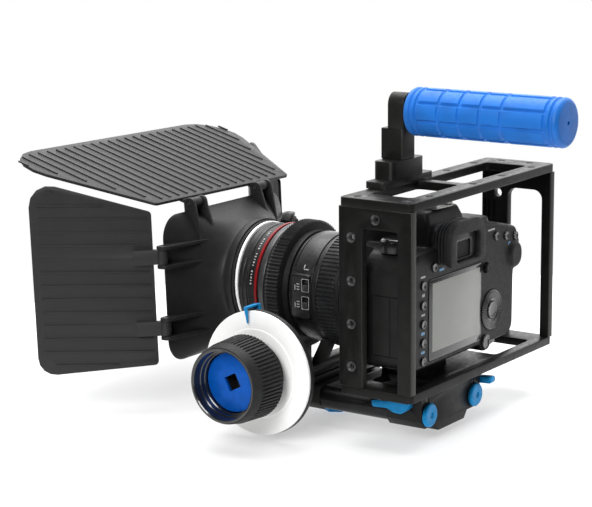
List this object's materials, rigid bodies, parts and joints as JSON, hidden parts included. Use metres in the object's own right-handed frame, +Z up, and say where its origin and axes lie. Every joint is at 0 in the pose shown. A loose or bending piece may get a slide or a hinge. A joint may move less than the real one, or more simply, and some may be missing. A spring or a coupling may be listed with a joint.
{
  "type": "cinema camera rig",
  "caption": "Cage rig with a stills camera, blue top handle, 15 mm rods, follow focus geared to the lens, and a clamp-on matte box with top and side flags.",
  "frame": {"origin": "middle of the tripod face under the rod block", "axes": "+Z up, the lens points along -Y, +X to the operator's left"},
  "size_m": [0.2534, 0.3785, 0.228],
  "materials": {
    "anodised_black": "fine satin anodising",
    "anodised_blue": "satin anodising",
    "blue_rubber": "soft moulded rubber",
    "black_plastic": "fine moulded texture",
    "camera_shell": "fine speckled coating",
    "black_rubber": "matt rubber",
    "white_plastic": "smooth writable face",
    "screen": "glossy pale screen",
    "red_ring": "gloss",
    "lens_glass": "coated glass",
    "steel": "satin"
  },
  "bodies": {
    "rig_frame": {"cage_bottom_plate": "anodised_black", "cage_top_plate": "anodised_black", "cage_left_plate": "anodised_black", "cage_right_plate": "anodised_black", "handle_base": "anodised_black", "handle_riser": "anodised_black", "handle_core": "anodised_black", "rail_block": "anodised_black", "rod_left": "anodised_black", "rod_right": "anodised_black", "ff_rod_clamp": "anodised_black", "ff_arm": "anodised_black", "lens_support": "anodised_black", "rod_cap_left": "anodised_blue", "rod_cap_right": "anodised_blue", "handle_grip": "blue_rubber", "camera_screw": "steel", "hot_shoe": "steel", "camera_body": "camera_shell", "lens_mount_barrel": "camera_shell", "lens_mid_barrel": "camera_shell", "lens_front_barrel": "camera_shell", "camera_eyecup": "black_rubber", "camera_screen": "screen", "lens_red_ring": "red_ring", "lens_front_glass": "lens_glass", "matte_hood": "black_plastic"},
    "block_lever_left": {"block_lever_left": "anodised_blue"},
    "block_lever_right": {"block_lever_right": "anodised_blue"},
    "mode_dial": {"mode_dial": "camera_shell"},
    "rear_dial": {"rear_dial": "camera_shell"},
    "set_button": {"set_button": "camera_shell"},
    "power_switch": {"power_switch": "camera_shell"},
    "joystick": {"joystick": "black_rubber"},
    "shutter_button": {"shutter_button": "camera_shell"},
    "menu_button": {"menu_button": "camera_shell"},
    "info_button": {"info_button": "camera_shell"},
    "style_button": {"style_button": "camera_shell"},
    "play_button": {"play_button": "camera_shell"},
    "erase_button": {"erase_button": "camera_shell"},
    "live_button": {"live_button": "camera_shell"},
    "af_start_button": {"af_start_button": "camera_shell"},
    "lock_button": {"lock_button": "camera_shell"},
    "zoom_button": {"zoom_button": "camera_shell"},
    "zoom_ring": {"zoom_ring": "black_rubber"},
    "lens_switch_upper": {"lens_switch_upper": "steel"},
    "lens_switch_lower": {"lens_switch_lower": "steel"},
    "focus_gear_ring": {"focus_gear_ring": "black_plastic"},
    "hood_clamp_screw": {"hood_clamp_screw": "black_plastic"},
    "top_flag": {"top_flag": "black_plastic"},
    "left_flag": {"left_flag": "black_plastic"},
    "right_flag": {"right_flag": "black_plastic"},
    "ff_gearbox": {"ff_gearbox": "black_plastic"},
    "ff_drive_gear": {"ff_drive_gear": "black_plastic"},
    "ff_marker": {"ff_marker": "anodised_blue"},
    "ff_clamp_knob": {"ff_clamp_knob": "anodised_blue"},
    "ff_hand_wheel": {"ff_wheel_flange": "black_plastic", "ff_marking_disc": "white_plastic", "ff_hand_knob": "black_rubber", "ff_socket_plate": "anodised_blue"}
  },
  "joints": [
    {"name": "top_flag_hinge", "type": "hinge", "parent": "rig_frame", "child": "top_flag", "pos_m": [0, -0.16847, 0.13897], "axis": [-1, 0, 0], "range_deg": [0, 60]},
    {"name": "left_flag_hinge", "type": "hinge", "parent": "rig_frame", "child": "left_flag", "pos_m": [0.0745, -0.16848, 0.08192], "axis": [0, -0.0384, 0.9993], "range_deg": [-38, 52]},
    {"name": "right_flag_hinge", "type": "hinge", "parent": "rig_frame", "child": "right_flag", "pos_m": [-0.0745, -0.16848, 0.08192], "axis": [0, 0.0384, -0.9993], "range_deg": [-38, 52]},
    {"name": "hood_clamp_turn", "type": "hinge", "parent": "rig_frame", "child": "hood_clamp_screw", "pos_m": [-0.03364, -0.1417, 0.11435], "axis": [-0.7314, -0.0262, 0.6815], "continuous": true},
    {"name": "gearbox_slide", "type": "slide", "parent": "rig_frame", "child": "ff_gearbox", "axis": [1, 0, 0], "range_m": [0, 0.015]},
    {"name": "hand_wheel_turn", "type": "hinge", "parent": "ff_gearbox", "child": "ff_hand_wheel", "pos_m": [0.088, -0.0824, 0.0409], "axis": [1, 0, 0], "range_deg": [-135, 135]},
    {"name": "drive_gear_turn", "type": "hinge", "parent": "ff_gearbox", "child": "ff_drive_gear", "pos_m": [0.0466, -0.1025, 0.0409], "axis": [0, 1, 0], "range_deg": [-135, 135]},
    {"name": "focus_ring_turn", "type": "hinge", "parent": "rig_frame", "child": "focus_gear_ring", "pos_m": [0, -0.1025, 0.083], "axis": [0, 1, 0], "range_deg": [-60, 60]},
    {"name": "marker_turn", "type": "hinge", "parent": "ff_gearbox", "child": "ff_marker", "pos_m": [0.078, -0.0824, 0.0409], "axis": [1, 0, 0], "range_deg": [-30, 30]},
    {"name": "clamp_knob_turn", "type": "hinge", "parent": "rig_frame", "child": "ff_clamp_knob", "pos_m": [0, -0.0785, 0.002], "axis": [0, 0, -1], "continuous": true},
    {"name": "zoom_ring_turn", "type": "hinge", "parent": "rig_frame", "child": "zoom_ring", "pos_m": [0, -0.0595, 0.083], "axis": [0, 1, 0], "range_deg": [0, 70]},
    {"name": "upper_switch_slide", "type": "slide", "parent": "rig_frame", "child": "lens_switch_upper", "axis": [0, 0, 1], "range_m": [0, 0.003]},
    {"name": "lower_switch_slide", "type": "slide", "parent": "rig_frame", "child": "lens_switch_lower", "axis": [0, 0, 1], "range_m": [0, 0.003]},
    {"name": "left_block_lever_turn", "type": "hinge", "parent": "rig_frame", "child": "block_lever_left", "pos_m": [0.041, 0.0005, 0.0235], "axis": [1, 0, 0], "range_deg": [0, 70]},
    {"name": "right_block_lever_turn", "type": "hinge", "parent": "rig_frame", "child": "block_lever_right", "pos_m": [-0.041, 0.0005, 0.0235], "axis": [-1, 0, 0], "range_deg": [0, 70]},
    {"name": "mode_dial_turn", "type": "hinge", "parent": "rig_frame", "child": "mode_dial", "pos_m": [0.04, -0.0055, 0.126], "axis": [0, 0, 1], "continuous": true},
    {"name": "rear_dial_turn", "type": "hinge", "parent": "rig_frame", "child": "rear_dial", "pos_m": [-0.0514, 0.0145, 0.0684], "axis": [0, 1, 0], "continuous": true},
    {"name": "power_switch_turn", "type": "hinge", "parent": "rig_frame", "child": "power_switch", "pos_m": [-0.043, 0.0155, 0.0476], "axis": [0, 1, 0], "range_deg": [0, 25]},
    {"name": "set_button_press", "type": "slide", "parent": "rig_frame", "child": "set_button", "axis": [0, -1, 0], "range_m": [0, 0.0007], "stiffness_N_per_m": 1200, "springref_m": -0.0003},
    {"name": "joystick_press", "type": "slide", "parent": "rig_frame", "child": "joystick", "axis": [0, -1, 0], "range_m": [0, 0.0006], "stiffness_N_per_m": 1200, "springref_m": -0.0003},
    {"name": "shutter_button_press", "type": "slide", "parent": "rig_frame", "child": "shutter_button", "axis": [0, 0, -1], "range_m": [0, 0.001], "stiffness_N_per_m": 1200, "springref_m": -0.0003},
    {"name": "menu_button_press", "type": "slide", "parent": "rig_frame", "child": "menu_button", "axis": [0, -1, 0], "range_m": [0, 0.0007], "stiffness_N_per_m": 1200, "springref_m": -0.0003},
    {"name": "info_button_press", "type": "slide", "parent": "rig_frame", "child": "info_button", "axis": [0, -1, 0], "range_m": [0, 0.0007], "stiffness_N_per_m": 1200, "springref_m": -0.0003},
    {"name": "style_button_press", "type": "slide", "parent": "rig_frame", "child": "style_button", "axis": [0, -1, 0], "range_m": [0, 0.0007], "stiffness_N_per_m": 1200, "springref_m": -0.0003},
    {"name": "play_button_press", "type": "slide", "parent": "rig_frame", "child": "play_button", "axis": [0, -1, 0], "range_m": [0, 0.0007], "stiffness_N_per_m": 1200, "springref_m": -0.0003},
    {"name": "erase_button_press", "type": "slide", "parent": "rig_frame", "child": "erase_button", "axis": [0, -1, 0], "range_m": [0, 0.0007], "stiffness_N_per_m": 1200, "springref_m": -0.0003},
    {"name": "live_button_press", "type": "slide", "parent": "rig_frame", "child": "live_button", "axis": [0, -1, 0], "range_m": [0, 0.0007], "stiffness_N_per_m": 1200, "springref_m": -0.0003},
    {"name": "af_start_button_press", "type": "slide", "parent": "rig_frame", "child": "af_start_button", "axis": [0, -1, 0], "range_m": [0, 0.0007], "stiffness_N_per_m": 1200, "springref_m": -0.0003},
    {"name": "lock_button_press", "type": "slide", "parent": "rig_frame", "child": "lock_button", "axis": [0, -1, 0], "range_m": [0, 0.0007], "stiffness_N_per_m": 1200, "springref_m": -0.0003},
    {"name": "zoom_button_press", "type": "slide", "parent": "rig_frame", "child": "zoom_button", "axis": [0, -1, 0], "range_m": [0, 0.0007], "stiffness_N_per_m": 1200, "springref_m": -0.0003}
  ],
  "couplings": [
    {"joint": "drive_gear_turn", "follows": "hand_wheel_turn", "ratio": 1},
    {"joint": "focus_ring_turn", "follows": "hand_wheel_turn", "ratio": -0.44444}
  ]
}
